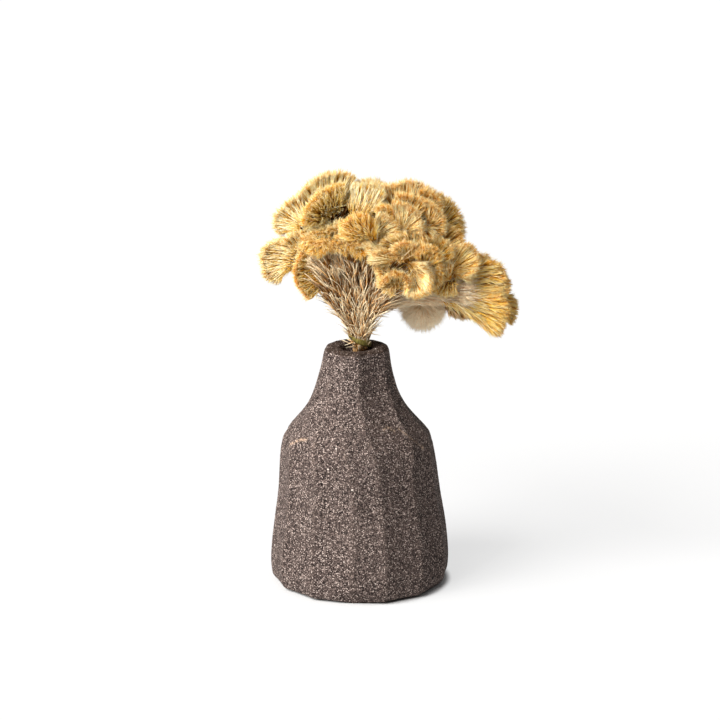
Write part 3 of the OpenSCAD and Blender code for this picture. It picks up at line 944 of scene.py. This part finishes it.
def make_front():
    """The arched hump over the bundle and the cluster of small crests beside it."""
    crest("front_hump", 51, [
        fan([(-5, -4, -3), (-2, -4, 0), (0, -5, -3)],
            [(-14, -7, 0.5), (-14.3, -8, 6), (-10.8, -8.5, 10), (-5, -9, 11.6), (-1.2, -8, 10), (1, -7, 6)],
            face=8.0, edge=2.8, spread=95, gold=1.0, pale=0.0, bulge=-2.5, density=1.2, lean=(10, 34),
            ruffle=1.8, waves=2.4),
        fan([(-1, -2, 0), (-2, -1, -4)],
            [(2.3, -6, 10.5), (6, -6, 9.6), (9, -6, 7.6), (11.5, -6, 4.8), (11.5, -6, 1.5)],
            edge=3.0, spread=70, pale=0.8, density=1.2),
        fan([(-12, 3, -6), (-8, 3, -7)],
            [(-17, -5, 0.5), (-13, -6, -1.5), (-8, -7, -2.5)], edge=3.4, spread=75, gold=0.7, pale=0.3),
        fan([(8, -3, -11), (12, -3, -12)],
            [(-9, -7, -3.5), (-6, -8, -2), (-2, -8.5, -4), (1, -8.5, -8), (0, -8, -12)],
            face=10.0, edge=3.4, spread=70, ruffle=1.4, density=1.2),
        fan([(-24, 5, -7), (-14, 5, -7)],
            [(-34, -3, -1), (-26, -5, -3), (-18, -6, -3.5), (-12, -6, -3)],
            edge=3.2, spread=80, gold=1.0, pale=0.3),
        fan([(-27, 0, -1), (-21, 0, -2)],
            [(-33, -3, -4), (-28, -5, -7.5), (-23, -6, -6), (-18, -6, -3)],
            face=5.0, edge=3.2, spread=85, gold=0.8, pale=0.0, ruffle=1.6, lean=(6, 30)),
        fan([(-16, 0, -1), (-8, 0, -2)],
            [(-20, -5, -3), (-15, -6.5, -6), (-10, -7, -5), (-6, -7, -8.5), (-2, -6, -6)],
            face=5.0, edge=3.2, spread=85, gold=0.7, pale=0.0, ruffle=1.6, lean=(6, 30)),
        fan([(17, -4, -8), (20, -4, -9)],
            [(3, -6, -6), (6, -6.5, -1.5), (11, -6.5, 0.5), (17, -6, 1)],
            edge=3.2, spread=60, gold=0.3, pale=0.6, density=1.1),
        fan([(4, 3, -14), (12, 2, -14)],
            [(2, -8, -7), (8, -8, -7.5), (14, -8, -10)], edge=3.8, spread=75, gold=0.6, pale=0.6)],
          kind="amber")
    crest("front_crests", 52, [
        fan([(1, -1, 3.8), (3, -1, 4)],
            [(-5.9, -7, 9), (-5, -8, 12.8), (-0.5, -8, 14.6), (3.8, -8, 13.2)],
            edge=3.0, spread=70, gold=1.0, pale=0.4, density=1.2),
        fan([(8.2, -2, 1.5), (10, -2, 2)],
            [(4.8, -7, 8.5), (7.2, -7.5, 11.5), (10.8, -7.5, 12.5), (14, -7, 10.5), (15, -6, 6)],
            edge=3.2, spread=75, gold=0.8, pale=0.1, density=1.1),
        fan([(-1.6, -1, 4), (1.9, -1, 1)],
            [(6.5, -7, 5), (10, -8, 1), (11.6, -8, -3.5), (10.6, -8, -8), (7, -8, -10), (3, -8, -10.5),
             (-0.6, -7, -8.5)], face=11.0, edge=3.0, spread=60, gold=0.8, pale=0.9, density=1.2),
        fan([(-6.5, -1, -9.8), (-3.5, -1, -9.8)],
            [(-12.3, -7, -7.5), (-10.8, -8, -3.8), (-7.9, -8, -1), (-4.5, -8, 0), (-1.6, -8, -1.5),
             (0.9, -8, -4.5), (1.5, -7, -7.5)], edge=3.0, spread=75, gold=1.0, pale=0.6, density=1.1),
        fan([(-8, 2, -2), (-4, 3, -6)],
            [(-14, -4, 3), (-12, -6, -2), (-10, -6, -7), (-6, -6, -10)], spread=60, gold=0.2, pale=0.5),
        fan([(6, 4, 4), (9, 4, 0)],
            [(2, -5, 13), (8, -5, 12), (14, -4, 7), (16, -3, 1), (14, -3, -7)],
            edge=3.4, spread=80, gold=0.8, pale=0.2)], kind="amber")


def make_back():
    """The far side, which the photo doesn't show."""
    crest("back_left_fan", 61, [
        fan([(5, -12, -4), (9, -11, 0)],
            [(-10, 2, -8), (-13, 4, 0), (-8, 8, 8), (0, 9, 11), (8, 7, 9)], waves=4.0, ruffle=1.4),
        fan([(6, -9, -7), (11, -9, -5)], [(-8, 10, -9), (-2, 12, -3), (5, 13, 0), (11, 10, -3)])])
    crest("back_centre_fan", 62, [
        fan([(-5, -17, 1), (5, -17, 1)],
            [(-13, 4, 4), (-8, 6, 12), (0, 6, 16), (8, 6, 13), (12, 4, 5)],
            pale=0.8, waves=4.0, ruffle=1.2),
        fan([(-5, -14, -6), (5, -14, -6)],
            [(-11, 10, -4), (-5, 13, 2), (3, 13, 3), (11, 11, -3)], gold=1.0),
        fan([(-4, -12, -10), (4, -12, -10)],
            [(-10, 9, -15), (-3, 11, -18), (5, 11, -18), (11, 8, -14)], gold=0.6, pale=0.4)])
    crest("back_right_fan", 63, [
        fan([(-8, -13, -2), (-3, -12, 1)],
            [(-10, 5, 8), (-3, 7, 13), (5, 5, 12), (12, 1, 5), (13, -1, -4)], waves=4.0, ruffle=1.2),
        fan([(-8, -10, -6), (-1, -10, -7)], [(-9, 10, -4), (-2, 12, 0), (6, 9, -1), (12, 5, -8)])])
    crest("back_low_left_fan", 64, [
        fan([(6, -5, 4), (10, -4, 2)],
            [(-15, -3, 3), (-13, 3, -4), (-6, 8, -9), (3, 9, -10), (11, 8, -8)],
            face=8.0, gold=0.35, pale=0.4, waves=4.0)], kind="tan")
    crest("back_low_right_fan", 65, [
        fan([(-14, -4, 2), (-8, -5, 4)],
            [(-16, 8, -10), (-6, 10, -9), (4, 8, -9), (14, 4, -8), (22, 0, -4)],
            face=8.0, gold=0.5, pale=0.4, waves=4.0),
        fan([(-6, -5, 6), (0, -6, 4)],
            [(-8, 7, 3), (2, 8, 3), (12, 5, 2), (20, 1, 3)], face=8.0, gold=0.6, pale=0.4)],
          kind="tan")


def make_tuft():
    """The pale pompom that hangs under the right arm."""
    into = Geometry()
    centre = around("right_tuft", [(0, -1, 4)])[0]
    add_pompom(into, np.random.default_rng(44), centre, (12.8, 8.0, 15.0), 5200, 11.0)
    add_tube(into, around("right_tuft", [(-3, 1, 4), (0, 1, 4.5), (3, 1, 4)]), [1.0, 1.6, 1.0], steps=20)
    into.build("right_tuft_bristles", ["beige", "flesh"], "right_tuft")


def make_trunk():
    """The bundle of long bristles that opens from the throat."""
    rng = np.random.default_rng(71)
    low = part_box("trunk_bristles")[0][2] / MM
    into = Geometry()
    start = (0.2, 1.0, low - 1)
    for (x, y, z), (mid_x, mid_y, mid_z), count in [
            ((-19, -8, 33), (-8, -3, 15), 240), ((-17, -12, 44), (-6, -5, 19), 300),
            ((-6, -14, 48), (-2, -5, 20), 300), ((4, -14, 48), (1, -5, 20), 280),
            ((13, -12, 42), (4, -5, 20), 260), ((20, -13, 34), (6, -5, 15), 320),
            ((26, -12, 42), (9, -6, 22), 300), ((19, -14, 45), (7, -6, 22), 280),
            ((-16, 6, 40), (-6, 4, 20), 300), ((-4, 12, 44), (-2, 6, 20), 300),
            ((8, 9, 42), (3, 5, 20), 300)]:
        path = [start, (mid_x, mid_y, low + mid_z), (x, y, low + z)]
        add_broom(into, rng, path, [1.2, 2.6, 4.5], int(count * 0.95), 12.0, (3, 22), 0.34, flow=0.85,
                  unruly=0.12)
        add_tube(into, path, [1.0, 1.4, 2.4], depth=0.2)
    add_fan(into, rng, around("trunk_bristles", [(-12, -6, 29), (-4, -8, 28)]),
            around("trunk_bristles", [(-20, -9, 24), (-14, -12, 19), (-6, -13, 18), (2, -13, 20)]),
            face=8.0, edge=5.0, spread=70, gold=0.1, pale=0.2, ruffle=1.5)
    top = [(-18, -13, 18), (-16, -14.5, 23), (-12, -15, 26), (-8, -15.5, 27), (-3.5, -15, 25)]
    add_fan(into, rng, around("trunk_bristles", [(-6, -6, 6), (-3, -7, 8)]), around("trunk_bristles", top),
            face=11.0, edge=4.0, spread=50, gold=0.15, pale=0.5, ruffle=1.2)
    into.build("trunk_bristles_broom", ["tan", "flesh"], "trunk_bristles")


def make_plate():
    """The plate between the crests, which all of them grow from."""
    rng = np.random.default_rng(72)
    into = Geometry()
    for path in [[(-26, -4, -7), (-16, -6, -5), (-4, -6, -4), (8, -6, -5), (22, -5, -4), (31, -3, -6)],
                 [(-20, 4, 4), (-6, 5, 6), (8, 5, 7), (22, 4, 4)]]:
        path = around("crest_plate", path)
        add_tube(into, path, [4.0, 5.5, 6.0, 5.5, 4.0], depth=0.15)
        add_broom(into, rng, path, [4.5, 6.0, 6.0, 4.5], 2000, 6.5, (35, 85), 0.22, gold=0.2, pale=0.2)
    top = [(-32, -2, -11), (-20, -3, -3), (-5, -4, 2), (12, -4, 0), (27, -3, -7), (38, -3, -18)]
    add_fan(into, rng, around("crest_plate", [(-8, 0, -34), (-3, 0, -36), (4, 0, -34)]),
            around("crest_plate", top), face=8.0, edge=5.0, spread=70, gold=0.1, pale=0.2, ruffle=1.8,
            waves=4.0, density=0.8)
    into.build("crest_plate_flesh", ["tan", "flesh"], "crest_plate")


# ---------------------------------------------------------------- stalks and throat

def make_main_stalk(rng):
    low, high = (np.array(c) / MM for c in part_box("main_stalk"))
    centre_y = (low[1] + high[1]) / 2
    into = Geometry()
    path = [(0, 2.5, low[2]), (0, 2.5, 60), (0.2, 2.4, 110), (0.3, 1.4, 122), (0, centre_y, high[2] - 2)]
    add_tube(into, path, [2.6, 2.8, 2.9, 3.4, 3.6, 3.2], sides=28, steps=90, grooves=9, depth=0.07)
    add_broom(into, rng, [(0.3, 1.4, 117), (0.3, 0.8, 121), (0, 0.8, 128)], [3.2, 3.6, 4.2], 420, 8.0,
              (2, 16), 0.3, pale=0.9)
    into.build("main_stalk_stem", ["tan", "stalk"], "main_stalk")


def make_branch(rng, node, kind, path, radii, count, gold):
    into = Geometry()
    path = around(node, path)
    add_tube(into, path, radii, sides=20, depth=0.14)
    add_broom(into, rng, path, [2.2, 1.8, 1.6], count, 8.0, (8, 30), 0.24, gold=gold, pale=0.8)
    into.build(node + "_stem", ["tan", kind], node)


def make_sleeve(rng):
    """The right arm's sleeve of beige bristles, streaming out towards the far fan."""
    into = Geometry()
    path = around("right_stalk", [(-6, -1, 0), (4, -2, 5), (18, -3, 7.5), (32, -4, 7)])
    add_tube(into, path, [0.8, 1.6, 2.6, 2.8], depth=0.2)
    add_broom(into, rng, path, [1.6, 3.2, 4.8, 5.0], 3200, 10.0, (4, 30), 0.17, gold=0.05)
    into.build("right_arm_sleeve", ["beige", "flesh"], None)


def make_stalks():
    rng = np.random.default_rng(81)
    make_main_stalk(rng)
    make_branch(rng, "left_stalk", "stalk", [(9, 0, -14), (2, -1, -4), (-4, 0, 6), (-11, 0, 14)],
                [2.8, 2.6, 2.0], 420, 0.0)
    make_branch(rng, "right_stalk", "twig", [(-17, 0, -7), (-6, -1, -1), (3, -2, 4.5), (19, -3, 7)],
                [2.2, 1.4, 1.2], 260, 0.1)
    make_sleeve(rng)


def make_leaf():
    """An olive leaf strap round the throat."""
    _, y, z = middle("throat_leaf")
    T, A = np.meshgrid(np.radians(np.linspace(-160, 130, 70)), np.linspace(-1, 1, 7), indexing="ij")
    radius = 5.6 + 0.35 * np.sin(3 * T + 1) - 0.25 * A ** 2
    rise = 3.6 * np.sin((T + 0.5) / 2) * -1.0
    height = z + rise + A * (1.25 + 0.3 * np.sin(2 * T))
    surface = np.stack([radius * np.sin(T), y - 0.6 - radius * np.cos(T), height], -1)
    strap = Geometry()
    add_sheet(strap, surface.transpose(1, 0, 2), 0.55)
    strap.build("throat_leaf_strap", ["leaf", "leaf"], "throat_leaf")


def make_fibres():
    """Pale loose fibres that fall over the rim, from start to end, with heights above the rim."""
    into = Geometry()
    rim = [0, 0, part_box("vase_body")[1][2] / MM]
    start = np.array([(-2.5, -2.5, 1.5), (-3.0, -2.0, 2.5), (-2.5, -3.5, 3.5), (-3.5, -1.0, 1.2),
                      (-2.0, -3.8, 1.8), (-3.2, -2.6, 0.9), (3.2, -2.5, 9), (3.8, -2.0, 7.5),
                      (3.0, -3.0, 11), (-3.5, -2.5, 5)]) + rim
    end = np.array([(-10.5, -4.0, 3.6), (-8.5, -1.0, 4.6), (-7.8, -6.5, 1.4), (-9.5, 1.0, 2.6),
                    (-5.0, -8.5, 1.0), (-7.0, -8.0, 0.8), (9.0, -4.0, 8), (10.5, -3.0, 5.5),
                    (12.0, -4.5, 10.5), (-9.0, -3.0, 8.5)]) + rim
    way = end - start
    add_bristles(into, start, way, np.linalg.norm(way, axis=1), np.full(len(start), 0.3),
                 np.tile([0.0, 0.0, 0.12], (len(start), 1)), np.random.default_rng(91), pale=1.0)
    into.build("throat_fibres", ["tan"], None)


# ---------------------------------------------------------------- the whole

add_camera()
add_floor()
light_the_set()
make_materials()
make_vase()
make_stalks()
make_trunk()
make_plate()
make_left_side()
make_crown()
make_front()
make_right_side()
make_tuft()
make_back()
make_leaf()
make_fibres()

bpy.context.view_layer.update()
